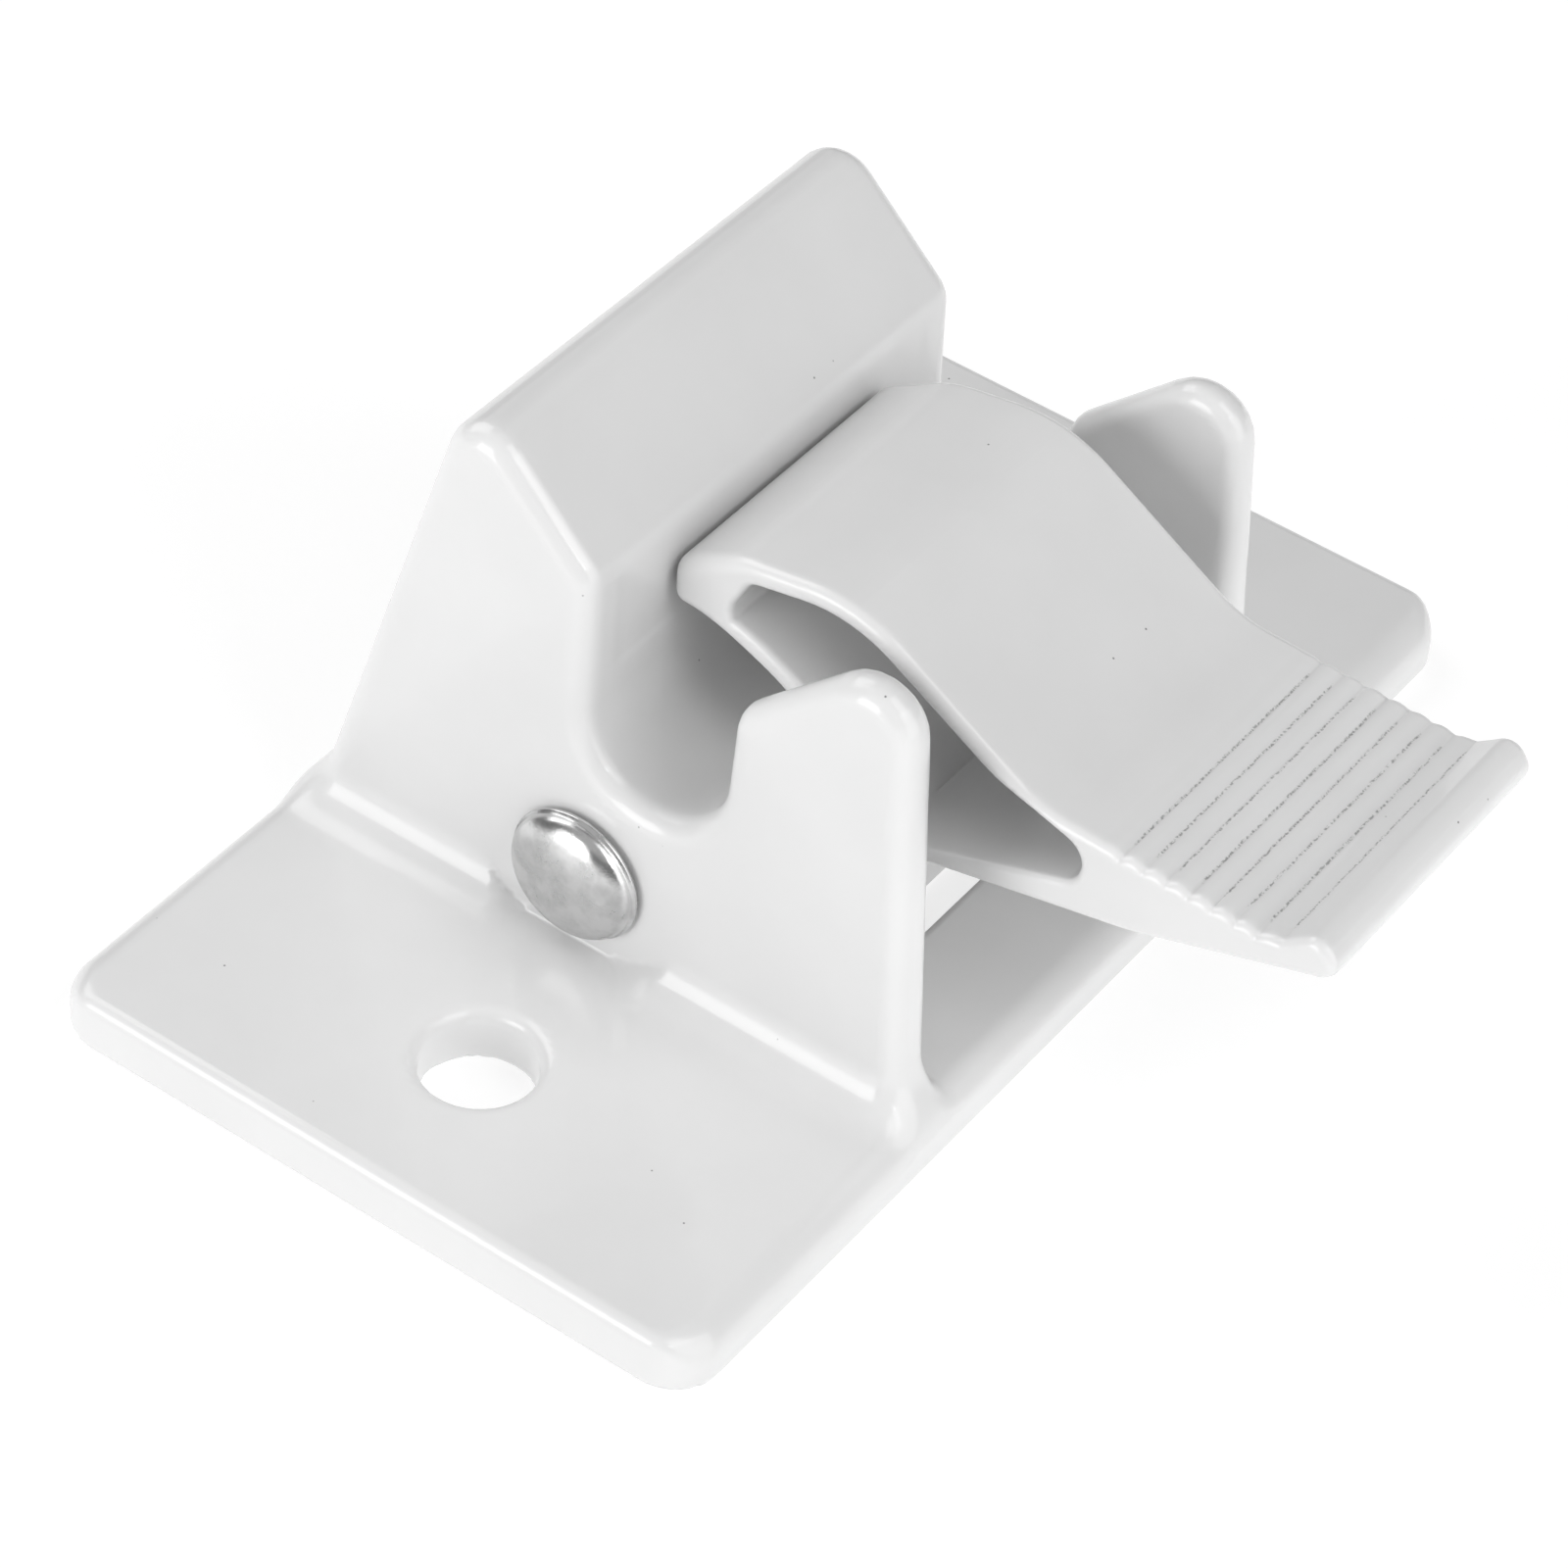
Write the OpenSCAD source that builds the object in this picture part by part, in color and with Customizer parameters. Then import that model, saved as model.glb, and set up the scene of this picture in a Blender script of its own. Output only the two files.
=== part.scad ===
// Stair gate latch: a cast base with two cheeks and a bar slot, and a sprung thumb
// lever whose hook closes over the gate bar.
// +Z points away from the wall, +X towards the thumb tab, +Y along the gate bar.
// The origin is the middle of the flat face that lies on the wall.

/* [Base plate] */
// Length of the plate, along the gate bar
plate_w = 76; // [60:1:100]
// Depth of the plate
plate_d = 43; // [35:0.5:56]
// Thickness of the plate
plate_t = 3.5; // [2.5:0.1:5]
// Corner radius of the plate, seen from above
plate_corner_r = 3; // [2.5:0.1:6]
// Radius of the plate's upper edge
plate_edge_r = 2; // [0.5:0.1:2.4]
// Diameter of each mounting hole
hole_d = 6.6; // [4:0.1:8]
// Distance from a mounting hole's centre to the end of the plate
hole_end = 10.15; // [7:0.05:14]
// Width of the lead-in ring round a mounting hole
hole_lead_w = 0.95; // [0.3:0.05:2]
// Depth of the lead-in ring
hole_lead_h = 0.85; // [0.3:0.05:2]

/* [Housing] */
// Free width between the two cheeks
cheek_gap = 28.4; // [24:0.1:38]
// Thickness of each cheek
cheek_t = 3; // [2:0.1:5]
// Height of the housing's sharp ridge line, before rounding
ridge_z = 36.2; // [30:0.1:44]
// Radius of the ridge
ridge_r = 2.5; // [1:0.1:4]
// Lean of the back, in degrees from upright
back_lean = 15; // [5:1:25]
// Distance from the plate's rear edge to the foot of the back
back_margin = 1.35; // [0.5:0.05:4]
// Height of the sharp corner between roof and slot wall
bend_z = 27.8; // [24:0.1:33]
// Radius of that corner
bend_r = 2; // [0.5:0.1:3]
// Thickness of the web that forms the slot
web_t = 2.4; // [1.8:0.1:2.6]
// Radius of the coves at the foot of the cheeks
cove_r = 3; // [1:0.1:4]
// Radius of the round clearance that the rivet's head needs in the coves
scallop_r = 6.5; // [5.4:0.1:8]
// Wall round the hollow behind the slot
hollow_wall = 3; // [2:0.1:4]

/* [Bar slot] */
// Width of the slot that holds the gate bar
slot_w = 8.9; // [7:0.1:10.5]
// Distance of the slot's middle in front of the plate's middle
slot_x = 2.25; // [1:0.05:4]
// Height of the middle of the slot's round bottom
slot_z = 19.2; // [18.6:0.1:21]
// Draft of the slot's walls, in degrees
slot_draft = 2; // [0:0.5:4]

/* [Front posts] */
// Height at which the lead-in slope starts, beside the slot
post_low_z = 24.3; // [22:0.1:27]
// Angle of the lead-in slope
post_slope = 43.7; // [35:0.1:50]
// Distance from the plate's front edge to the foot of the posts
post_margin = 1.8; // [0.5:0.05:5]
// Lean of the posts' front face, in degrees
post_lean = 4.5; // [0:0.5:8]
// Radius of the posts' front top corner
post_r = 3.05; // [1:0.05:4]
// Radius of the posts' inner top corner
post_inner_r = 2; // [0.5:0.1:3]

/* [Spring slot] */
// Width of the slot in the plate that anchors the spring's fixed leg
anchor_w = 3.4; // [2.5:0.1:5]
// Length of that slot
anchor_len = 22; // [12:0.5:24]
// Distance from the pivot to the middle of that slot
anchor_x = 12.65; // [11:0.05:14]

/* [Pivot] */
// Distance of the pivot behind the plate's middle
pivot_back = 1.65; // [0:0.05:3]
// Height of the pivot
pivot_z = 8.5; // [8:0.1:9.5]
// Diameter of the rivet's shank
rivet_d = 4.8; // [3.5:0.1:5]
// Diameter of the rivet's domed head
rivet_head_d = 8.3; // [6.5:0.1:10]
// Thickness of the head's rim
rivet_rim = 0.45; // [0.2:0.05:1]
// Height of the dome above the rim
rivet_dome = 1.3; // [0.5:0.05:2.5]
// Diameter of the set head at the far end
rivet_tail_d = 7.4; // [6:0.1:10]
// Height of the set head
rivet_tail_h = 1.4; // [0.8:0.05:2.5]
// Gap between the heads and the cheeks
rivet_gap = 0.3; // [0.05:0.05:0.6]
// Radial clearance of the shank in the cheeks
rivet_seat_clear = 0.02; // [0.02:0.01:0.1]
// Radial clearance of the lever's bore on the shank
pivot_clear = 0.05; // [0.02:0.01:0.1]

/* [Lever] */
// Width of the lever
lever_w = 20; // [12:0.1:23]
// Diameter of the lever's hub
hub_d = 7.8; // [7:0.1:8.2]
// Gap between each end of the hub and its cheek
hub_end_clear = 0.3; // [0.1:0.05:1]
// Radius of the hook's inner face, about the pivot
hook_r = 14.1; // [13.4:0.1:15]
// Thickness of the hook's web
hook_t = 1.8; // [1.2:0.1:3]
// Depth of the arm where it joins the hook's web
arm_t = 2.8; // [2:0.1:3.4]
// Gap between the nose and the slot wall
nose_gap = 0.4; // [0.3:0.05:1]
// Height of the lever's top
lever_top = 29.2; // [28:0.1:32]
// Height of the ridged tab
tab_z = 21.4; // [20:0.1:23]
// Distance from the pivot to the tip of the tab
lever_reach = 41.65; // [38:0.05:48]
// Height of the raised lip at the tip
lip_h = 2; // [0.5:0.1:3]
// Thickness of the lever's top skin
skin_t = 1.7; // [1.2:0.1:2.6]
// Number of grooves in the tab
groove_n = 8; // [4:1:8]
// Distance between two grooves
groove_pitch = 1.38; // [1:0.01:1.4]
// Depth of each groove
groove_h = 0.4; // [0.2:0.05:0.6]

/* [Return spring] */
// Diameter of the wire
wire_d = 1; // [0.6:0.05:1.1]
// Radial gap between the coil and the rivet
coil_clear = 0.35; // [0.2:0.05:0.5]
// Number of turns
coil_turns = 6; // [3:1:7]
// Distance between two turns
coil_pitch = 1.15; // [1.12:0.01:1.3]
// Gap at each end of the coil
coil_end_clear = 0.4; // [0.2:0.05:1]
// Length of the leg that pushes the lever
push_leg = 7.5; // [5:0.1:8]
// Gap between a spring leg and what it bears on
leg_gap = 0.1; // [0.05:0.05:0.2]

/* [Hidden] */
$fn = 96;
eps = 0.01;
corner_steps = 6;

pivot_x = -pivot_back;
housing_w = cheek_gap + 2 * cheek_t;
hole_y = plate_w / 2 - hole_end;
bore_r = rivet_d / 2 + pivot_clear;
hub_r = hub_d / 2;
hub_len = cheek_gap - 2 * hub_end_clear;

// Foot of the back, foot of the posts and the lines that lean from them
back_foot_x = -plate_d / 2 + back_margin;
post_foot_x = plate_d / 2 - post_margin;
ridge_x = back_foot_x + (ridge_z - plate_t) * tan(back_lean);
slot_half = slot_w / 2;
slot_left = slot_x - slot_half;
slot_right = slot_x + slot_half;
bend_x = slot_left - (bend_z - slot_z) * tan(slot_draft);
post_low_x = slot_right + (post_low_z - slot_z) * tan(slot_draft);

// Sharp top corner of a post, where its lead-in slope meets its front face
post_slope_rise = tan(post_slope);
post_front_fall = tan(post_lean);
post_top_z = (post_low_z + post_slope_rise * (post_foot_x + post_front_fall * plate_t - post_low_x))
    / (1 + post_slope_rise * post_front_fall);
post_top_x = post_foot_x - (post_top_z - plate_t) * post_front_fall;

// Room round the hub, and the reach of the slot's lip inside the hook
hub_room_r = hub_r + 0.6;
lip_limit_r = hook_r - 0.7;
slot_outer_r = slot_half + web_t;

// Lever outline, from the pivot
nose_r = 1.6;
nose_x = bend_x + (slot_left - bend_x) * 0.45 + nose_gap;
nose_z = pivot_z + hook_r + nose_r - 0.3;
tip_x = pivot_x + lever_reach;
tab_start_x = 26.8;
arm_angle = 30.6;
arm_root_r = hub_r - 0.2;
arm_top_z = pivot_z + 4.1;
window_end_x = 24.2;
window_low_z = 15.2;

// Spring
coil_r = rivet_d / 2 + coil_clear + wire_d / 2;
coil_len = coil_turns * coil_pitch;
bay_w = coil_len + wire_d + 2 * coil_end_clear;
channel_w = bay_w - 0.4;
bay_top = coil_r - wire_d / 2 - leg_gap;
anchor_mid = pivot_x + anchor_x;

// Points of an arc of radius r that rounds corner p between a and b
function unit(v) = v / norm(v);
function turn_half(a, p, b) = acos(unit(a - p) * unit(b - p)) / 2;
function corner(a, p, b, r) =
    let (
        half = turn_half(a, p, b),
        mid = unit(unit(a - p) + unit(b - p)),
        centre = p + mid * r / sin(half),
        start = p + unit(a - p) * r / tan(half) - centre,
        end = p + unit(b - p) * r / tan(half) - centre,
        sweep = 180 - 2 * half,
        way = sign(start.x * end.y - start.y * end.x)
    )
    [for (i = [0:corner_steps]) centre + turned(start, way * sweep * i / corner_steps)];
function turned(v, angle) = [v.x * cos(angle) - v.y * sin(angle), v.x * sin(angle) + v.y * cos(angle)];

// A closed outline from [x, y, radius] rows; radius 0 leaves a corner sharp
function outline(rows) = [
    for (i = [0:len(rows) - 1])
        let (
            n = len(rows),
            a = rows[(i + n - 1) % n],
            p = rows[i],
            b = rows[(i + 1) % n]
        )
        each p.z == 0 ? [[p.x, p.y]] : corner([a.x, a.y], [p.x, p.y], [b.x, b.y], p.z)
];

// Side views are drawn with x across and z up, then given their width along Y
module across(width, y = 0) {
    translate([0, y + width / 2, 0])
        rotate([90, 0, 0])
            linear_extrude(width)
                children();
}

module side_shape(rows) {
    polygon(outline(rows));
}

// ---- base casting ----

// A rounded edge's section: x is the distance inwards from the side of the plate
module edge_section(reach) {
    translate([0, 0])
        square([reach - plate_edge_r, plate_t]);
    square([reach, plate_t - plate_edge_r]);
    translate([reach - plate_edge_r, plate_t - plate_edge_r])
        circle(plate_edge_r);
}

module plate_corner() {
    rotate_extrude()
        intersection() {
            edge_section(plate_corner_r);
            square([plate_corner_r, plate_t]);
        }
}

// A straight stretch of the plate's rim, with its rounded upper edge towards +X
module plate_rim(length) {
    translate([0, length / 2, 0])
        rotate([90, 0, 0])
            linear_extrude(length)
                intersection() {
                    edge_section(plate_corner_r);
                    square([plate_corner_r, plate_t]);
                }
}

module plate() {
    inner_d = plate_d - 2 * plate_corner_r;
    inner_w = plate_w - 2 * plate_corner_r;
    translate([-inner_d / 2 - eps, -inner_w / 2 - eps, 0])
        cube([inner_d + 2 * eps, inner_w + 2 * eps, plate_t]);
    for (side = [0, 180])
        rotate([0, 0, side]) {
            translate([inner_d / 2, 0, 0])
                plate_rim(inner_w);
            translate([0, inner_w / 2, 0])
                rotate([0, 0, 90])
                    plate_rim(inner_d);
            for (y = [-1, 1])
                translate([inner_d / 2, y * inner_w / 2, 0])
                    plate_corner();
        }
}

// Side view of the whole housing: back, roof, bar slot and posts
module housing_side() {
    difference() {
        side_shape([
            [back_foot_x - plate_t * tan(back_lean) / 2, plate_t / 2, 0],
            [ridge_x, ridge_z, ridge_r],
            [bend_x, bend_z, bend_r],
            [slot_left, slot_z, 0],
            [slot_right, slot_z, 0],
            [post_low_x, post_low_z, post_inner_r],
            [post_top_x, post_top_z, post_r],
            [post_foot_x, plate_t / 2, 0]
        ]);
        translate([slot_x, slot_z])
            circle(slot_half);
    }
}

// Side view of the room for the lever, between the cheeks
module lever_room_side() {
    difference() {
        union() {
            translate([pivot_x, pivot_z])
                circle(hub_room_r);
            translate([pivot_x, plate_t])
                square([plate_d, ridge_z]);
            translate([pivot_x - hub_room_r, plate_t])
                square([hub_room_r, pivot_z - plate_t]);
        }
        intersection() {
            translate([slot_x, slot_z])
                circle(slot_outer_r);
            translate([pivot_x, pivot_z])
                circle(lip_limit_r);
        }
    }
}

// Side view of the hollow behind the slot, open towards the wall
module hollow_side() {
    front = pivot_x - hub_room_r - hollow_wall;
    top = bend_z + 0.5;
    rear = back_foot_x + hollow_wall / cos(back_lean);
    polygon([
        [rear + plate_t * 0.5, -eps],
        [front, -eps],
        [front, top - 1.5],
        [front - 1, top],
        [min(rear + (top - plate_t) * tan(back_lean), front - 1.2), top],
        [rear, plate_t]
    ]);
}

// One cove along the foot of a cheek, from x = a to x = b, on the -Y side
module cove(a, b) {
    translate([a, -housing_w / 2 - cove_r, plate_t])
        difference() {
            translate([0, 0, -eps])
                cube([b - a, cove_r + eps, cove_r + eps]);
            translate([-eps, 0, cove_r])
                rotate([0, 90, 0])
                    cylinder(r = cove_r, h = b - a + 2 * eps);
        }
}

module coves() {
    rise = cove_r * tan(back_lean);
    for (side = [0, 1])
        mirror([0, side, 0]) {
            difference() {
                cove(back_foot_x + rise, post_foot_x - cove_r * tan(post_lean));
                translate([pivot_x, -housing_w / 2 + 1, pivot_z])
                    rotate([90, 0, 0])
                        cylinder(r = scallop_r, h = cove_r + 2);
            }
        }
}

module mounting_hole() {
    translate([0, 0, -1])
        cylinder(d = hole_d, h = plate_t + 2);
    translate([0, 0, plate_t - hole_lead_h])
        cylinder(d1 = hole_d, d2 = hole_d + 2 * hole_lead_w, h = hole_lead_h + eps);
}

// Long hole in the plate that the spring's fixed leg hooks into
module anchor_slot() {
    straight = anchor_len - anchor_w;
    translate([anchor_mid - anchor_w / 2, -straight / 2, -1])
        cube([anchor_w, straight, plate_t + 2]);
    for (y = [-straight / 2, straight / 2])
        translate([anchor_mid, y, -1])
            cylinder(d = anchor_w, h = plate_t + 2);
}

module base_casting() {
    color("whitesmoke")
        difference() {
            union() {
                plate();
                across(housing_w)
                    housing_side();
                coves();
            }
            across(cheek_gap)
                lever_room_side();
            across(cheek_gap)
                hollow_side();
            for (y = [-hole_y, hole_y])
                translate([0, y, 0])
                    mounting_hole();
            anchor_slot();
            translate([pivot_x, 0, pivot_z])
                rotate([90, 0, 0])
                    cylinder(r = rivet_d / 2 + rivet_seat_clear, h = housing_w + 2, center = true);
        }
}

// ---- thumb lever ----

module lever_side() {
    peak_x = 12.6;
    tab_x = 21.6;
    lip_x = tip_x - 1.4;
    inside_r = hook_r - 2;
    side_shape([
        [nose_x, nose_z + 1, 1.3],
        [3.2, lever_top - 0.2, 5],
        [peak_x, lever_top + 0.1, 9],
        [tab_x, tab_z + 0.8, 7],
        [tip_x - 3.6, tab_z, 2],
        [lip_x, tab_z + lip_h + 0.2, 1.1],
        [tip_x, tab_z, 0.9],
        [tip_x - 1, tab_z - 0.8, 0.9],
        [28, 16.9, 20],
        [15.5, 14.1, 4],
        [pivot_x + arm_root_r * sin(arm_angle), pivot_z - arm_root_r * cos(arm_angle), 0],
        [pivot_x, pivot_z, 0],
        [1, arm_top_z - 1.3, 0],
        [pivot_x + 7.45, arm_top_z - 0.8, 0],
        [pivot_x + inside_r * cos(arm_angle + 2), pivot_z + inside_r * sin(arm_angle + 2), 0],
        [nose_x + 3, nose_z - 5, 0],
        [nose_x, nose_z - nose_r - 1, 0]
    ]);
}

// The side window; its inner face follows the hook's web
module window_side() {
    difference() {
        side_shape([
            [2.4, 24.6, 0.8],
            [4.2, lever_top - skin_t, 2],
            [12.2, lever_top - skin_t + 0.1, 8],
            [20.6, tab_z + 0.2, 6],
            [window_end_x + 0.9, tab_z - 0.2, 1.6],
            [window_end_x, 18.3, 1.2],
            [12, window_low_z - 1.2, 0]
        ]);
        translate([pivot_x, pivot_z])
            circle(hook_r + hook_t);
    }
}

// Everything that the gate bar and the slot's lip need inside the hook
module hook_room_side() {
    difference() {
        translate([pivot_x, pivot_z])
            circle(hook_r);
        translate([pivot_x - hook_r, pivot_z - hook_r])
            square([2 * hook_r, hook_r + arm_top_z - pivot_z - 0.35]);
        translate([pivot_x, pivot_z])
            rotate(arm_angle)
                translate([0, -2 * hook_r])
                    square([2 * hook_r, 2 * hook_r - arm_root_r + arm_t]);
    }
}

// Square notches, turned on their corners, across the tab's face
module grooves_side() {
    for (i = [0:groove_n - 1])
        translate([tab_start_x + i * groove_pitch, tab_z + 0.6 - 0.04 * i * groove_pitch])
            rotate(45)
                square(groove_h * 2, center = true);
}

module thumb_lever() {
    color("white")
        difference() {
            union() {
                across(lever_w)
                    difference() {
                        lever_side();
                        window_side();
                        hook_room_side();
                        grooves_side();
                    }
                translate([pivot_x, 0, pivot_z])
                    rotate([90, 0, 0])
                        cylinder(r = hub_r, h = hub_len, center = true);
            }
            translate([pivot_x, 0, pivot_z])
                rotate([90, 0, 0])
                    cylinder(r = bore_r, h = hub_len + 2, center = true);
            translate([pivot_x, 0, pivot_z])
                rotate([90, 0, 0])
                    cylinder(r = hub_r + 0.4, h = bay_w, center = true);
            // Channel under the arm for the spring's legs
            translate([pivot_x, 0, pivot_z])
                rotate([0, -arm_angle, 0])
                    translate([0, -channel_w / 2, -hub_r - 3])
                        cube([push_leg + 1.2, channel_w, 3 + hub_r - bay_top]);
        }
}

// ---- pivot rivet ----

module rivet_dome(diameter, height) {
    radius = (diameter * diameter / 4 + height * height) / (2 * height);
    intersection() {
        translate([0, 0, height - radius])
            sphere(r = radius);
        cylinder(d = diameter, h = height);
    }
}

module pivot_rivet() {
    color("silver")
        translate([pivot_x, 0, pivot_z]) {
            rotate([90, 0, 0])
                cylinder(d = rivet_d, h = housing_w + 2 * rivet_gap + 2 * eps, center = true);
            translate([0, -housing_w / 2 - rivet_gap, 0])
                rotate([90, 0, 0]) {
                    cylinder(d = rivet_head_d, h = rivet_rim);
                    translate([0, 0, rivet_rim - eps])
                        rivet_dome(rivet_head_d, rivet_dome);
                }
            translate([0, housing_w / 2 + rivet_gap, 0])
                rotate([-90, 0, 0])
                    rivet_dome(rivet_tail_d, rivet_tail_h);
        }
}

// ---- return spring ----

wire_sides = 8;
turn_steps = 16;
// The wire rises from the plate at the coil's +X side and leaves below it, under the arm
push_end = -90 + arm_angle;
coil_sweep = 360 * coil_turns + push_end;
coil_steps = ceil(coil_sweep / 360 * turn_steps);
fixed_z = plate_t + wire_d / 2 + leg_gap;
fixed_bend = 1.1;

function coil_point(i) =
    let (
        part = i / coil_steps,
        angle = coil_sweep * part
    )
    [
        pivot_x + coil_r * cos(angle),
        -coil_len / 2 + coil_len * part,
        pivot_z + coil_r * sin(angle)
    ];

// A quarter bend in the plane of the leg, from heading a to heading b, about a centre
function leg_bend(x, z, a, b) = [
    for (step = [0:3])
        let (angle = a + (b - a) * step / 3)
        [x + fixed_bend * cos(angle), -coil_len / 2, z + fixed_bend * sin(angle)]
];

function spring_path() = concat(
    [[anchor_mid, -coil_len / 2, plate_t - 2.4]],
    leg_bend(anchor_mid - fixed_bend, fixed_z - fixed_bend, 0, 90),
    leg_bend(pivot_x + coil_r + fixed_bend, fixed_z + fixed_bend, 270, 180),
    [for (i = [0:coil_steps]) coil_point(i)],
    [
        for (run = [push_leg / 2, push_leg])
            [
                pivot_x + coil_r * sin(arm_angle) + run * cos(arm_angle),
                coil_len / 2,
                pivot_z - coil_r * cos(arm_angle) + run * sin(arm_angle)
            ]
    ]
);

// Frame of ring i: the wire's direction, and two directions across it
function path_dir(path, i) = unit(path[min(i + 1, len(path) - 1)] - path[max(i - 1, 0)]);
function ring(path, i) =
    let (
        dir = path_dir(path, i),
        side = unit(cross(dir, [0, 1, 0])),
        up = cross(side, dir)
    )
    [
        for (k = [0:wire_sides - 1])
            path[i] + wire_d / 2 * (side * cos(360 * k / wire_sides) + up * sin(360 * k / wire_sides))
    ];

module wire(path) {
    n = len(path);
    points = [for (i = [0:n - 1]) each ring(path, i)];
    sides = [
        for (i = [0:n - 2], k = [0:wire_sides - 1])
            let (next = (k + 1) % wire_sides)
            [
                i * wire_sides + k,
                i * wire_sides + next,
                (i + 1) * wire_sides + next,
                (i + 1) * wire_sides + k
            ]
    ];
    first = [for (k = [0:wire_sides - 1]) wire_sides - 1 - k];
    last = [for (k = [0:wire_sides - 1]) (n - 1) * wire_sides + k];
    polyhedron(points, concat([first], sides, [last]));
}

module return_spring() {
    color("silver")
        wire(spring_path());
}

base_casting();
thumb_lever();
pivot_rivet();
return_spring();
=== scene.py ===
"""Looks of the stair gate latch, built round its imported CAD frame.

Each casting is a distance field in millimetres, meshed and pulled onto its exact surface, so that
every cove, lip and rounded edge of the cast shape is real geometry.
"""

import math

import bpy
import numpy as np
from mathutils import Matrix, Vector


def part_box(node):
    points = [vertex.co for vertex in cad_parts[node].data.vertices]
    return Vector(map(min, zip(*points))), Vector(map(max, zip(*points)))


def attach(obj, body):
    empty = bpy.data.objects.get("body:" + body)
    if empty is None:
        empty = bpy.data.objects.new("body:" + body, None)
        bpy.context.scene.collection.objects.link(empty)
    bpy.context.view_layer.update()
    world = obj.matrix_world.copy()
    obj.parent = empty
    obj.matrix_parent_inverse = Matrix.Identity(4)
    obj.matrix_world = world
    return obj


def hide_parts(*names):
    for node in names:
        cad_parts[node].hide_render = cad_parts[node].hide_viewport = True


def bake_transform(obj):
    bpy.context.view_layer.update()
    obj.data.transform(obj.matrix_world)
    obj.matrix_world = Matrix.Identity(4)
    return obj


MM = 0.001

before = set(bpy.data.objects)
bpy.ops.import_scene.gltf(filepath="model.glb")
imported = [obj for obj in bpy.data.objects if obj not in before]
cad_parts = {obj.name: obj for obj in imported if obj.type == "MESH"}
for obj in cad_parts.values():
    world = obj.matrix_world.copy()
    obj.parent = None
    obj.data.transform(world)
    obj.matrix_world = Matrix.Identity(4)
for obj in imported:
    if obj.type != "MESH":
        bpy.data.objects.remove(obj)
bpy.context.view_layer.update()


def box_mm(node):
    low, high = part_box(node)
    return np.array(low) / MM, np.array(high) / MM


base_low, base_high = box_mm("base_casting")
lever_low, lever_high = box_mm("thumb_lever")
rivet_low, rivet_high = box_mm("pivot_rivet")

# ---- sizes, in mm ----

plate_d = base_high[0] - base_low[0]
plate_w = base_high[1] - base_low[1]
plate_t = 3.5
plate_corner_r = 3.0
plate_edge_r = 2.0
plate_side_r = 0.8
hole_d = 6.6
hole_y = plate_w / 2 - 10.15
hole_edge_r = 0.8

cheek_half = 17.48  # half width of the housing at the wall
cheek_draft = 0.0243  # what each cheek loses in width per mm of height
cheek_gap_half = 14.2
cheek_edge_r = 1.4
cheek_inner_r = 1.1
cove_r = 2.7
scallop_r = 6.3
scallop_blend = 0.5

slot_x, slot_z, slot_half, slot_draft = 2.25, 19.2, 4.45, math.radians(1.6)
web_t = 2.4
back_foot_x = -plate_d / 2 + 1.35
back_lean = math.radians(15)
ridge_z, ridge_r = 36.2, 2.6
bend_z = 27.8
post_low_z, post_slope = 24.3, math.radians(43.7)
post_foot_x, post_lean = plate_d / 2 - 1.8, math.radians(4.5)

pivot_x = (rivet_low[0] + rivet_high[0]) / 2
pivot_z = (rivet_low[2] + rivet_high[2]) / 2
shank_r = 2.4
anchor_x, anchor_half_w, anchor_half_len = pivot_x + 12.65, 1.7, 11.0

lever_half = 10.0
lever_edge_r = 0.6
window_edge_r = 0.4
hub_r = 3.9
hub_half = 13.9
hook_r, hook_t, arm_t = 14.1, 1.4, 2.8
arm_angle = math.radians(30.6)
arm_top_z = pivot_z + 4.1
tip_x = pivot_x + 41.65
lever_top = lever_high[2]
tab_z = 21.4
groove_x, groove_pitch, groove_n = 26.8, 1.38, 8
groove_h = 0.26
bay_half = 4.3


# ---- distance fields: negative inside, in mm ----


def unit(v):
    return v / np.linalg.norm(v)


def outline(rows, steps=8):
    """A closed outline from (x, z, radius) rows; radius 0 leaves a corner sharp."""
    points = []
    for i, (x, z, r) in enumerate(rows):
        p = np.array((x, z))
        if r == 0:
            points.append(p)
            continue
        to_a = unit(np.array(rows[i - 1][:2]) - p)
        to_b = unit(np.array(rows[(i + 1) % len(rows)][:2]) - p)
        half = math.acos(np.clip(to_a @ to_b, -1, 1)) / 2
        centre = p + unit(to_a + to_b) * r / math.sin(half)
        start = p + to_a * r / math.tan(half) - centre
        end = p + to_b * r / math.tan(half) - centre
        sweep = math.copysign(math.pi - 2 * half, start[0] * end[1] - start[1] * end[0])
        for angle in np.linspace(0, sweep, steps + 1):
            c, s = math.cos(angle), math.sin(angle)
            points.append(centre + (c * start[0] - s * start[1], s * start[0] + c * start[1]))
    return np.array(points)


def polygon(x, z, points):
    """Distance to a closed outline."""
    x, z = np.broadcast_arrays(x, z)
    nearest = np.full(x.shape, np.inf)
    side = np.ones(x.shape)
    for (ax, az), (bx, bz) in zip(points, np.roll(points, -1, 0)):
        ex, ez = bx - ax, bz - az
        wx, wz = x - ax, z - az
        t = np.clip((wx * ex + wz * ez) / (ex * ex + ez * ez), 0, 1)
        nearest = np.minimum(nearest, (wx - ex * t) ** 2 + (wz - ez * t) ** 2)
        above, below, left = z >= az, z < bz, ex * wz > ez * wx
        side = np.where((above & below & left) | ~(above | below | left), -side, side)
    return side * np.sqrt(nearest)


def circle(x, z, cx, cz, r):
    return np.hypot(x - cx, z - cz) - r


def join(a, b, r):
    """Union with a round cove of radius r."""
    return np.maximum(r, np.minimum(a, b)) - np.hypot(np.maximum(r - a, 0), np.maximum(r - b, 0))


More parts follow.
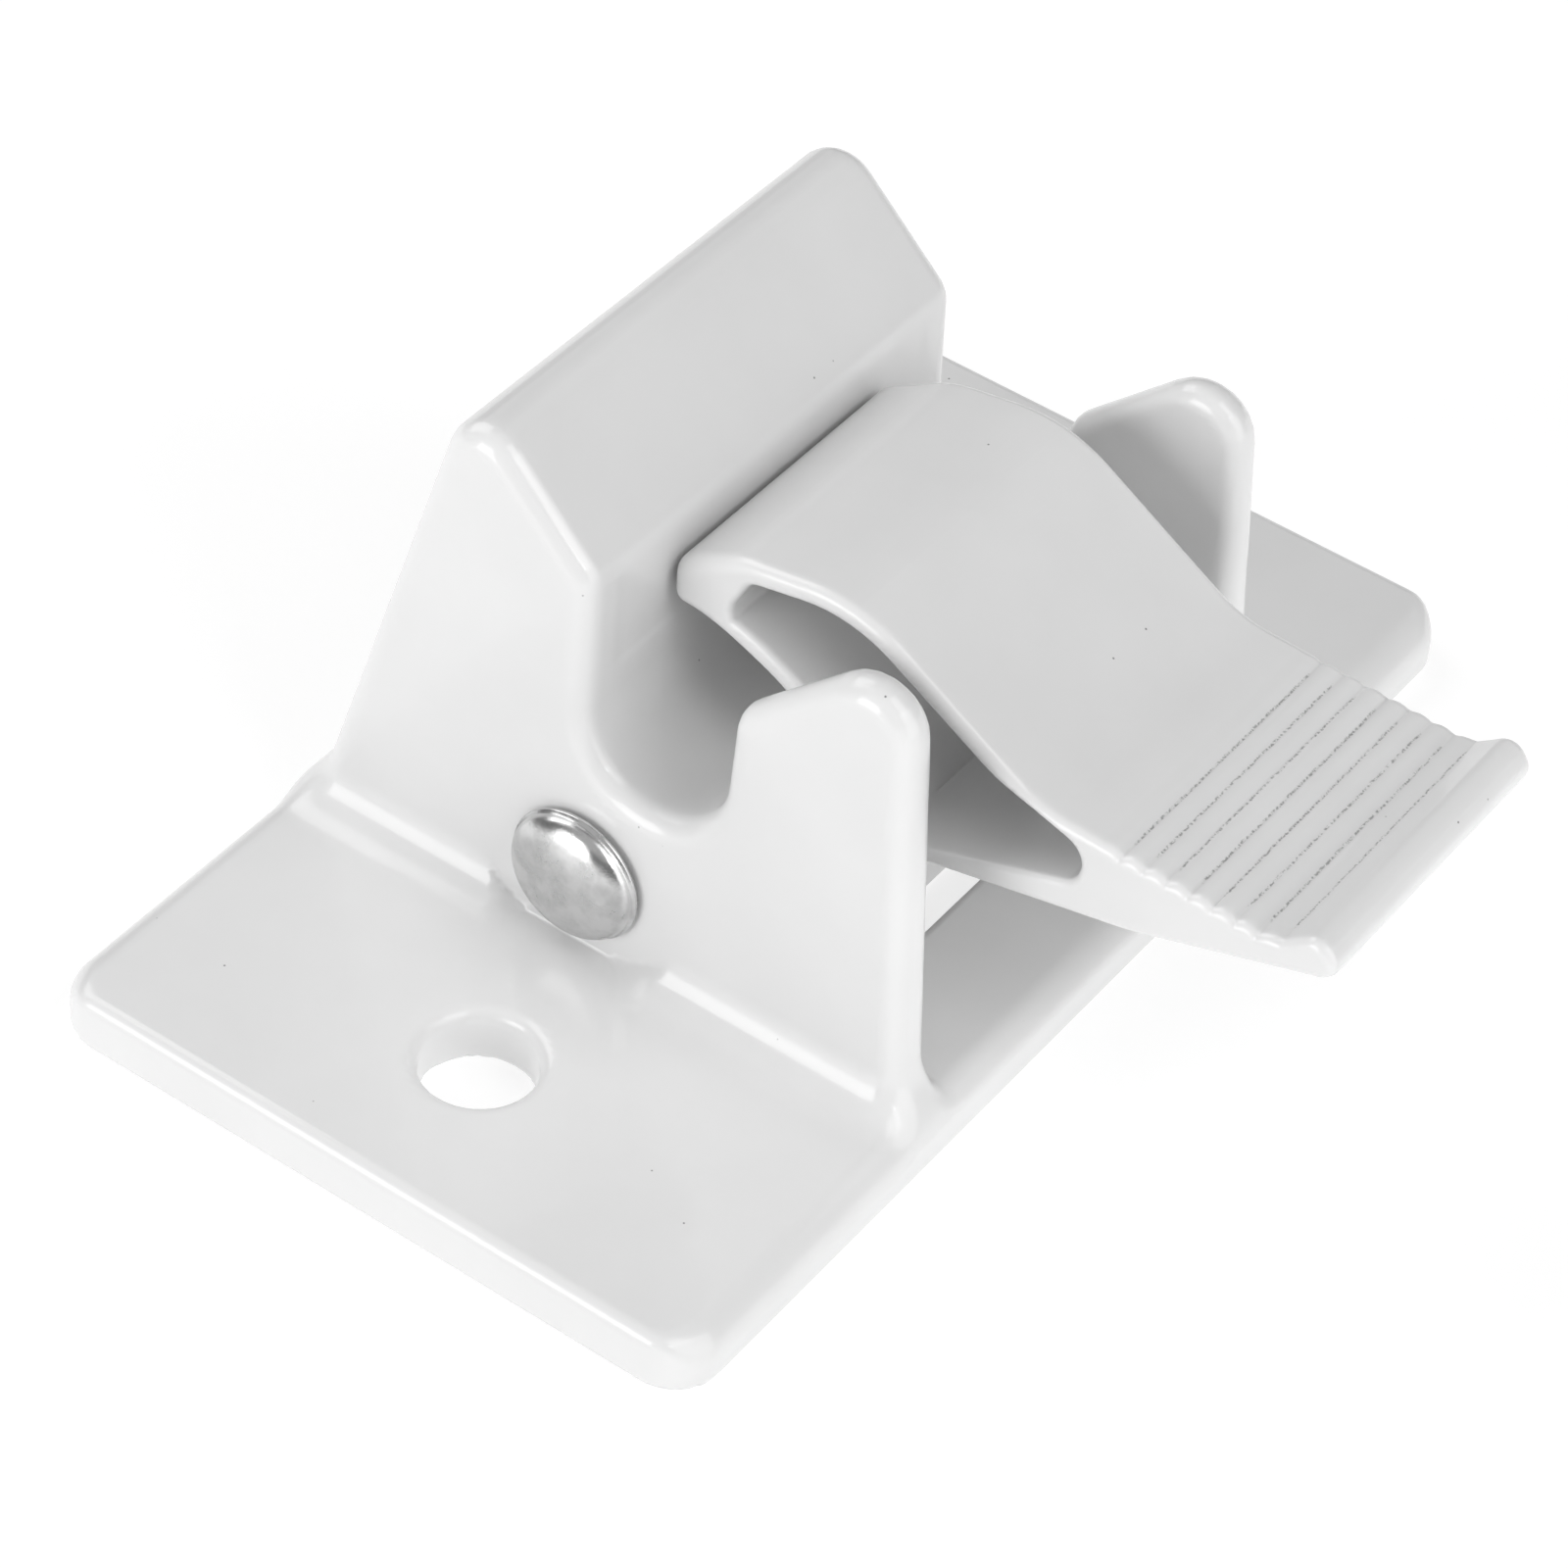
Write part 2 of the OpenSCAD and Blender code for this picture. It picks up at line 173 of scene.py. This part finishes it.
def meet(a, b, r):
    """Intersection with a rounded edge of radius r."""
    return np.minimum(-r, np.maximum(a, b)) + np.hypot(np.maximum(r + a, 0), np.maximum(r + b, 0))


def rectangle(x, y, half_x, half_y, r):
    dx, dy = np.abs(x) - half_x + r, np.abs(y) - half_y + r
    return np.hypot(np.maximum(dx, 0), np.maximum(dy, 0)) + np.minimum(np.maximum(dx, dy), 0) - r


def smoothstep(low, high, v):
    t = np.clip((v - low) / (high - low), 0, 1)
    return t * t * (3 - 2 * t)


# ---- base casting ----


def housing_outline():
    slot_left, slot_right = slot_x - slot_half, slot_x + slot_half
    bend_x = slot_left - (bend_z - slot_z) * math.tan(slot_draft)
    low_x = slot_right + (post_low_z - slot_z) * math.tan(slot_draft)
    rise, fall = math.tan(post_slope), math.tan(post_lean)
    top_z = (post_low_z + rise * (post_foot_x + fall * plate_t - low_x)) / (1 + rise * fall)
    ridge_x = back_foot_x + (ridge_z - plate_t) * math.tan(back_lean)
    return outline([
        (back_foot_x - plate_t * math.tan(back_lean), 0, 0),
        (ridge_x, ridge_z, ridge_r),
        (bend_x, bend_z, 2.0),
        (slot_left, slot_z, 0),
        (slot_right, slot_z, 0),
        (low_x, post_low_z, 2.2),
        (post_foot_x - (top_z - plate_t) * fall, top_z, 3.05),
        (post_foot_x + plate_t * fall, 0, 0),
    ])


HOUSING = housing_outline()


def base_field(x, y, z):
    ay = np.abs(y)
    across = smoothstep(-2.5, 1.5, np.abs(x) - plate_d / 2 - ay + plate_w / 2)
    edge = plate_side_r + (plate_edge_r - plate_side_r) * across
    rim = rectangle(x, y, plate_d / 2, plate_w / 2, plate_corner_r)
    plate = meet(rim, z - plate_t, edge)
    side = np.maximum(polygon(x, z, HOUSING), -circle(x, z, slot_x, slot_z, slot_half))
    cheek = ay - cheek_half + cheek_draft * z
    from_pivot = np.hypot(x - pivot_x, z - pivot_z)
    blend = scallop_blend + 0.6 * smoothstep(-2, 4, x - pivot_x)
    cove = 0.25 + (cove_r - 0.25) * smoothstep(scallop_r - blend, scallop_r + blend, from_pivot)
    solid = np.maximum(join(plate, meet(side, cheek, cheek_edge_r), cove), rim)

    lip = np.maximum(circle(x, z, slot_x, slot_z, slot_half + web_t), from_pivot - hook_r + 0.7)
    room = np.minimum(from_pivot - hub_r - 0.6, np.maximum(pivot_x - x, plate_t - z))
    room = np.minimum(room, np.maximum(np.abs(x - pivot_x + 2.25) - 2.25, np.abs(z - 6) - 2.5))
    room = np.maximum(room, -lip)
    solid = meet(solid, -meet(room, ay - cheek_gap_half, 0.8), cheek_inner_r)

    front = pivot_x - hub_r - 3.6
    hollow = polygon(x, z, np.array([
        (back_foot_x + 3.1, -2), (front, -2), (front, bend_z - 1),
        (back_foot_x + 8.2, bend_z - 1), (back_foot_x + 3.1, plate_t),
    ]))
    solid = meet(solid, -np.maximum(hollow, ay - cheek_gap_half), 0.3)
    solid = meet(solid, hole_d / 2 - np.hypot(x, ay - hole_y), hole_edge_r)
    slot_len = np.maximum(ay - anchor_half_len + anchor_half_w, 0)
    solid = meet(solid, anchor_half_w - np.hypot(x - anchor_x, slot_len), 0.5)
    solid = np.maximum(solid, shank_r - from_pivot)
    return meet(solid, -z, 0.3)


# ---- thumb lever ----


def lever_outline():
    nose_x = slot_x - slot_half + 0.12
    nose_z = pivot_z + hook_r + 1.3
    inside_r, inside_angle = hook_r - 2, arm_angle + math.radians(2)
    return outline([
        (nose_x - 0.1, nose_z + 1.5, 1.5),
        (2.0, lever_top - 1.4, 4.5),
        (9.6, lever_top - 0.1, 9),
        (21.7, tab_z + 0.55, 7),
        (tip_x - 3.8, tab_z + 0.1, 3.2),
        (tip_x - 1.4, tab_z + 2.0, 1.1),
        (tip_x, tab_z, 0.9),
        (tip_x - 1, tab_z - 0.8, 0.9),
        (28, 16.9, 20),
        (15.5, 14.1, 4),
        (pivot_x + hub_r * math.sin(arm_angle), pivot_z - hub_r * math.cos(arm_angle), 0),
        (pivot_x, pivot_z, 0),
        (1, arm_top_z - 1.3, 0),
        (pivot_x + 7.45, arm_top_z - 0.8, 0),
        (pivot_x + inside_r * math.cos(inside_angle), pivot_z + inside_r * math.sin(inside_angle), 0),
        (nose_x + 3, nose_z - 5, 0),
        (nose_x, nose_z - 2.6, 0),
    ])


LEVER = lever_outline()
WINDOW = outline([
    (1.6, 23.9, 1.3),
    (2.9, lever_top - 2.6, 1.0),
    (9.2, lever_top - 1.3, 8),
    (18.8, tab_z + 1.0, 6),
    (24.8, tab_z - 0.8, 1.5),
    (24.3, 18.3, 1.3),
    (12, 14, 0),
])


def lever_field(x, y, z):
    ay = np.abs(y)
    from_pivot = np.hypot(x - pivot_x, z - pivot_z)
    side = polygon(x, z, LEVER)
    # convex lobes with a crease between each two, fading out towards both sides of the tab
    step = (x - groove_x) / groove_pitch
    lobes = 1 - np.abs(np.sin(math.pi * step)) ** 0.8
    within = smoothstep(-1.2, -0.2, step) * smoothstep(groove_n - 0.2, groove_n - 1.8, step)
    face = smoothstep(tab_z - 1.2, tab_z - 0.6, z)
    side = side + groove_h * lobes * within * face * smoothstep(lever_half + 1.4, lever_half - 0.9, ay)

    along = (x - pivot_x) * math.cos(arm_angle) + (z - pivot_z) * math.sin(arm_angle)
    below = (x - pivot_x) * math.sin(arm_angle) - (z - pivot_z) * math.cos(arm_angle)
    above_arm = np.maximum(arm_top_z - 0.35 - z, below - hub_r + arm_t)
    hook_room = np.maximum(from_pivot - hook_r, above_arm)
    side = meet(side, -hook_room, 0.9)
    round_nose = 0.5 * smoothstep(4, -1, x)
    body = meet(side, ay - lever_half, lever_edge_r + round_nose)
    window = np.maximum(polygon(x, z, WINDOW), hook_r + hook_t - from_pivot)
    body = meet(body, -window, window_edge_r)
    hub = meet(from_pivot - hub_r, ay - hub_half, 0.5)
    body = join(body, hub, 0.4)
    body = meet(body, -np.maximum(from_pivot - hub_r - 0.4, ay - bay_half), 0.15)
    channel = np.maximum(np.maximum(np.abs(along - 4.35) - 4.35, 2.65 - below), ay - bay_half + 0.2)
    body = meet(body, -channel, 0.15)
    return np.maximum(body, shank_r + 0.05 - from_pivot)


# ---- meshing ----


def slope(field, points):
    """The field and its gradient at each point."""
    step = 0.01
    gradient = np.empty_like(points)
    for axis in range(3):
        ahead, behind = points.copy(), points.copy()
        ahead[:, axis] += step
        behind[:, axis] -= step
        gradient[:, axis] = (field(*ahead.T) - field(*behind.T)) / (2 * step)
    return field(*points.T), gradient


def surface(name, field, low, high, cell):
    """A mesh of the field's zero surface: one point per crossed cell, moved onto the surface."""
    axes = [np.arange(a - 2.37 * cell, b + 2.6 * cell, cell) for a, b in zip(low, high)]
    grid = field(axes[0][:, None, None], axes[1][None, :, None], axes[2][None, None, :])
    grid = np.where(np.abs(grid) < 1e-6, 1e-6, grid)
    shape = tuple(n - 1 for n in grid.shape)
    total, count = np.zeros(shape + (3,)), np.zeros(shape, int)
    edges = []
    for axis in range(3):
        first = np.delete(grid, -1, axis)
        second = np.delete(grid, 0, axis)
        crossed = (first < 0) != (second < 0)
        part = np.where(crossed, first / np.where(crossed, first - second, 1), 0)
        edges.append((crossed, first < 0))
        u, v = [k for k in range(3) if k != axis]
        for du in (0, 1):
            for dv in (0, 1):
                cut = [slice(None)] * 3
                cut[u], cut[v] = slice(du, du + shape[u]), slice(dv, dv + shape[v])
                c = crossed[tuple(cut)]
                count += c
                total[..., axis] += part[tuple(cut)]
                total[..., u] += c * du
                total[..., v] += c * dv
    used = count > 0
    index = np.full(shape, -1)
    index[used] = np.arange(used.sum())
    points = np.argwhere(used) + total[used] / count[used][:, None]
    points = points * cell + np.array([a[0] for a in axes])

    faces = []
    for axis, (crossed, first_inside) in enumerate(edges):
        u, v = [k for k in range(3) if k != axis]
        at = np.argwhere(crossed)
        at = at[(at[:, u] > 0) & (at[:, v] > 0) & (at[:, u] < shape[u]) & (at[:, v] < shape[v])]
        ring = []
        for du, dv in ((1, 1), (0, 1), (0, 0), (1, 0)):
            cell_at = at.copy()
            cell_at[:, u] -= du
            cell_at[:, v] -= dv
            ring.append(index[tuple(cell_at.T)])
        quads = np.stack(ring, 1)
        outward = first_inside[tuple(at.T)] ^ (axis == 1)
        quads[~outward] = quads[~outward][:, ::-1]
        faces.append(quads)
    faces = np.concatenate(faces)

    for _ in range(3):
        value, gradient = slope(field, points)
        move = value[:, None] * gradient / np.maximum((gradient**2).sum(1), 0.2)[:, None]
        points -= np.clip(move, -cell / 2, cell / 2)
    normals = slope(field, points)[1]
    normals /= np.maximum(np.linalg.norm(normals, axis=1), 1e-6)[:, None]

    mesh = bpy.data.meshes.new(name)
    mesh.from_pydata((points * MM).tolist(), [], faces.tolist())
    mesh.polygons.foreach_set("use_smooth", np.ones(len(faces), bool))
    mesh.update()
    mesh.normals_split_custom_set_from_vertices(normals.tolist())
    obj = bpy.data.objects.new(name, mesh)
    bpy.context.scene.collection.objects.link(obj)
    print(name, len(points), "points,", len(faces), "faces")
    return obj


# ---- materials ----


class Nodes:
    """A material's node tree, with short calls for adding and linking nodes."""

    def __init__(self, name):
        self.material = bpy.data.materials.new(name)
        self.material.use_nodes = True
        self.tree = self.material.node_tree
        self.shader = self.tree.nodes["Principled BSDF"]
        self.place = self.add("ShaderNodeTexCoord").outputs["Object"]

    def add(self, kind, inputs=None, **settings):
        node = self.tree.nodes.new(kind)
        for key, value in settings.items():
            setattr(node, key, value)
        for key, value in (inputs or {}).items():
            self.put(node.inputs[key], value)
        return node

    def put(self, socket, value):
        if isinstance(value, bpy.types.NodeSocket):
            self.tree.links.new(value, socket)
        else:
            socket.default_value = value

    def math(self, operation, *values, clamp=False):
        node = self.add("ShaderNodeMath", operation=operation, use_clamp=clamp)
        for socket, value in zip(node.inputs, values):
            self.put(socket, value)
        return node.outputs[0]

    def noise(self, size_mm, detail=2.0, rough=0.5, stretch=(1, 1, 1)):
        scaled = self.add("ShaderNodeMapping", {"Vector": self.place, "Scale": stretch})
        return self.add(
            "ShaderNodeTexNoise",
            {"Vector": scaled.outputs[0], "Scale": 1 / (size_mm * MM), "Detail": detail, "Roughness": rough},
        ).outputs["Fac"]

    def span(self, value, low, high, out_low=0.0, out_high=1.0):
        return self.add(
            "ShaderNodeMapRange",
            {"Value": value, "From Min": low, "From Max": high, "To Min": out_low, "To Max": out_high},
        ).outputs[0]

    def specks(self, spacing_mm, radius_mm, share):
        """1 inside round specks, which fill a share of the cells."""
        cells = self.add("ShaderNodeTexVoronoi", {"Vector": self.place, "Scale": 1 / (spacing_mm * MM)})
        near = self.span(cells.outputs["Distance"], radius_mm / spacing_mm, 0.4 * radius_mm / spacing_mm)
        chosen = self.math("LESS_THAN", self.add("ShaderNodeSeparateColor", {"Color": cells.outputs["Color"]}).outputs[0], share)
        return self.math("MULTIPLY", near, chosen)

    def mix(self, factor, a, b):
        node = self.add("ShaderNodeMix", data_type="RGBA")
        self.put(node.inputs["Factor"], factor)
        for socket, value in zip([s for s in node.inputs if s.type == "RGBA"], (a, b)):
            self.put(socket, value)
        return [s for s in node.outputs if s.type == "RGBA"][0]

    def bump(self, height, distance_mm, strength=1.0, under=None):
        inputs = {"Height": height, "Distance": distance_mm * MM, "Strength": strength}
        if under is not None:
            inputs["Normal"] = under
        return self.add("ShaderNodeBump", inputs).outputs[0]

    def set(self, **sockets):
        for name, value in sockets.items():
            self.put(self.shader.inputs[name.replace("_", " ")], value)


def grey(value):
    return (value, value, value, 1)


def enamel(name, ribbed=False):
    """White powder coat: a soft orange peel, slight unevenness, a few dark pits, and, when ribbed, painted shade
    along the tab's creases.
    """
    n = Nodes(name)
    paint = n.mix(n.span(n.noise(9, 3), 0.3, 0.7), grey(0.755), grey(0.785))
    pits_and_crease_shade = n.specks(1.7, 0.085, 0.3)
    if ribbed:
        place = n.add("ShaderNodeSeparateXYZ", {"Vector": n.place})
        # Painted shade: dark dotted lines along the creases between the tab's lobes, on its top face, stand in
        # for the shade in the grooves.
        wander = n.span(n.noise(0.8, 3, 0.7), 0.2, 0.8, -0.05, 0.05)
        step = n.math("DIVIDE", n.math("SUBTRACT", place.outputs[0], groove_x * MM), groove_pitch * MM)
        step = n.math("ADD", step, wander)
        crease_shade = n.math("PINGPONG", step, 0.5)
        crease_shade = n.span(crease_shade, 0.075, 0.02)
        inside = n.math("MULTIPLY", n.math("GREATER_THAN", step, -0.3), n.math("LESS_THAN", step, groove_n - 0.5))
        inside = n.math("MULTIPLY", inside, n.span(n.math("ABSOLUTE", place.outputs[1]), 8.7 * MM, 8.2 * MM))
        grain = n.span(n.noise(0.16, 2, 0.6), 0.44, 0.58)
        crease_shade = n.math("MULTIPLY", n.math("MULTIPLY", crease_shade, inside), grain)
        above = n.math("GREATER_THAN", place.outputs[2], (tab_z - 0.9) * MM)
        # The painted crease shade joins the dark pits in one mask.
        pits_and_crease_shade = n.math("MAXIMUM", pits_and_crease_shade, n.math("MULTIPLY", n.math("MULTIPLY", crease_shade, above), 0.7))
    colour = n.mix(pits_and_crease_shade, paint, grey(0.16))
    peel = n.bump(n.noise(1.7, 2), 0.05, 0.22)
    fine = n.bump(n.noise(0.35, 2), 0.012, 0.25, under=peel)
    n.set(Base_Color=colour, Roughness=n.span(n.noise(5, 3), 0.3, 0.7, 0.29, 0.37), Normal=fine)
    n.set(Specular_IOR_Level=0.4, Coat_Weight=0.55, Coat_Roughness=0.06, Coat_IOR=1.5)
    return n.material


def plated(name, tint=(0.68, 0.68, 0.68, 1), rough=0.14):
    """Bright zinc plate with fine scratches and dull patches."""
    n = Nodes(name)
    dull = n.noise(1.3, 4, 0.6)
    scratch = n.noise(0.22, 2, 0.7, stretch=(1, 1, 5))
    colour = n.mix(n.span(dull, 0.4, 0.75), tint, grey(0.5))
    n.set(Base_Color=colour, Metallic=1.0)
    n.set(Roughness=n.span(dull, 0.3, 0.75, rough, rough + 0.2))
    n.set(Normal=n.bump(scratch, 0.02, 0.35, under=n.bump(n.noise(0.9, 3), 0.05, 0.3)))
    return n.material


# ---- pieces ----


def lathe(name, profile, segments=128):
    """A solid of revolution about the pivot's axis from (radius, y) rows in mm."""
    points, faces = [], []
    for r, y in profile:
        for k in range(segments):
            a = 2 * math.pi * k / segments
            points.append(((pivot_x + r * math.cos(a)) * MM, y * MM, (pivot_z + r * math.sin(a)) * MM))
    for i in range(len(profile) - 1):
        for k in range(segments):
            m = (k + 1) % segments
            faces.append((i * segments + k, (i + 1) * segments + k, (i + 1) * segments + m, i * segments + m))
    faces.append(tuple(range(segments)))
    faces.append(tuple((len(profile) - 1) * segments + k for k in range(segments))[::-1])
    mesh = bpy.data.meshes.new(name)
    mesh.from_pydata(points, [], faces)
    mesh.polygons.foreach_set("use_smooth", np.ones(len(faces), bool))
    mesh.update()
    obj = bpy.data.objects.new(name, mesh)
    bpy.context.scene.collection.objects.link(obj)
    return obj


def rivet_profile():
    """From the domed head's middle to the set head's middle."""
    head_r = (rivet_high[0] - rivet_low[0]) / 2
    head_y, tail_y = rivet_low[1], rivet_high[1]
    rim, edge, seat = 0.5, 0.16, 17.5
    back_y = -seat + 0.02
    dome = -head_y - seat - rim + edge
    rows = []
    for t in np.linspace(0.03, 1, 22):
        a = t * math.pi / 2
        rows.append(((head_r - edge) * math.sin(a) ** 1.0, head_y + dome * (1 - math.cos(a)) ** 1.25))
    rows += [(head_r - 0.03, rows[-1][1] + edge * 0.5), (head_r, rows[-1][1] + edge)]
    rows += [(head_r, back_y - 0.1), (head_r - 0.08, back_y), (shank_r + 0.01, back_y), (shank_r, back_y + 0.05)]
    rows += [(shank_r, seat + 0.2), (3.5, seat + 0.25), (3.68, seat + 0.35)]
    for t in np.linspace(0.9, 0.03, 14):
        a = t * math.pi / 2
        rows.append((3.72 * math.sin(a), seat + 0.45 + (tail_y - seat - 0.45) * math.cos(a)))
    return rows


def dress(obj, material, node):
    obj.data.materials.clear()
    obj.data.materials.append(material)
    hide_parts(node)


margin = np.array((0.5, 0.5, 0.5))
coarse = 1.0
casting = surface("base_casting_cast", base_field, base_low - margin, base_high + margin, 0.42 * coarse)
dress(casting, enamel("white_enamel_base"), "base_casting")
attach(casting, "base")
lever = surface("thumb_lever_cast", lever_field, lever_low - margin, lever_high + margin, 0.245 * coarse)
dress(lever, enamel("white_enamel_lever", ribbed=True), "thumb_lever")
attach(lever, "lever")
rivet = lathe("pivot_rivet_turned", rivet_profile())
dress(rivet, plated("plated_rivet"), "pivot_rivet")
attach(rivet, "base")

spring = bpy.data.objects.new("return_spring_wire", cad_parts["return_spring"].data.copy())
bpy.context.scene.collection.objects.link(spring)
spring.data.polygons.foreach_set("use_smooth", np.ones(len(spring.data.polygons), bool))
dress(spring, plated("spring_steel", (0.55, 0.55, 0.56, 1), 0.3), "return_spring")
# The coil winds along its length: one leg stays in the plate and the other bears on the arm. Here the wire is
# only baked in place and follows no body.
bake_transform(spring)


# ---- floor, light and camera ----


def floor():
    side = 1.6
    mesh = bpy.data.meshes.new("floor")
    corners = [(-side, -side, 0), (side, -side, 0), (side, side, 0), (-side, side, 0)]
    mesh.from_pydata([(x, y, -0.0002) for x, y, _ in corners], [], [(0, 1, 2, 3)])
    obj = bpy.data.objects.new("floor", mesh)
    bpy.context.scene.collection.objects.link(obj)
    n = Nodes("floor_white")
    n.set(Base_Color=grey(0.45), Roughness=0.9, Specular_IOR_Level=0.1)
    n.set(Emission_Color=grey(1.0), Emission_Strength=0.65)
    mesh.materials.append(n.material)


def area_light(name, azimuth, elevation, size, power, distance=0.6, target=(0, 0, 0.012)):
    """A square soft light, placed like a camera: azimuth 0 is on the -Y side."""
    a, e = math.radians(azimuth), math.radians(elevation)
    back = Vector((math.sin(a) * math.cos(e), -math.cos(a) * math.cos(e), math.sin(e)))
    data = bpy.data.lights.new(name, "AREA")
    data.shape, data.size, data.energy = "SQUARE", size, power
    obj = bpy.data.objects.new(name, data)
    obj.location = Vector(target) + back * distance
    obj.rotation_euler = back.to_track_quat("Z", "Y").to_euler()
    bpy.context.scene.collection.objects.link(obj)


def studio():
    world = bpy.data.worlds.new("studio")
    world.use_nodes = True
    background = world.node_tree.nodes["Background"]
    background.inputs[0].default_value = grey(1.0)
    background.inputs[1].default_value = 0.19
    bpy.context.scene.world = world
    area_light("side", -18, 12, 0.34, 1.65)
    area_light("near_high", 10, 58, 0.7, 0.5)
    area_light("front", 88, 22, 0.5, 1.45)
    area_light("front_high", 80, 50, 0.3, 0.65)
    area_light("spark", 60, 35, 0.06, 0.1)
    area_light("back_high", 165, 68, 0.35, 0.1)
    area_light("back", 250, 45, 0.45, 0.3)
    area_light("left", -90, 45, 0.4, 1.0)


def camera():
    azimuth, elevation, roll = math.radians(32.11), math.radians(43.05), math.radians(5.46)
    target, distance = Vector((3.49, -5.64, 9.60)) * MM, 300 * MM
    back = Vector((
        math.sin(azimuth) * math.cos(elevation),
        -math.cos(azimuth) * math.cos(elevation),
        math.sin(elevation),
    ))
    level = Vector((math.cos(azimuth), math.sin(azimuth), 0))
    right = Matrix.Rotation(roll, 3, back) @ level
    up = back.cross(right)
    data = bpy.data.cameras.new("camera")
    data.sensor_width, data.lens = 36, 125.95
    data.clip_start, data.clip_end = 0.01, 10
    obj = bpy.data.objects.new("camera", data)
    turn = Matrix((right, up, back)).transposed().to_4x4()
    obj.matrix_world = Matrix.Translation(target + back * distance) @ turn
    bpy.context.scene.collection.objects.link(obj)
    bpy.context.scene.camera = obj


floor()
studio()
camera()
bpy.context.scene.view_settings.view_transform = "Standard"
bpy.context.scene.view_settings.look = "None"
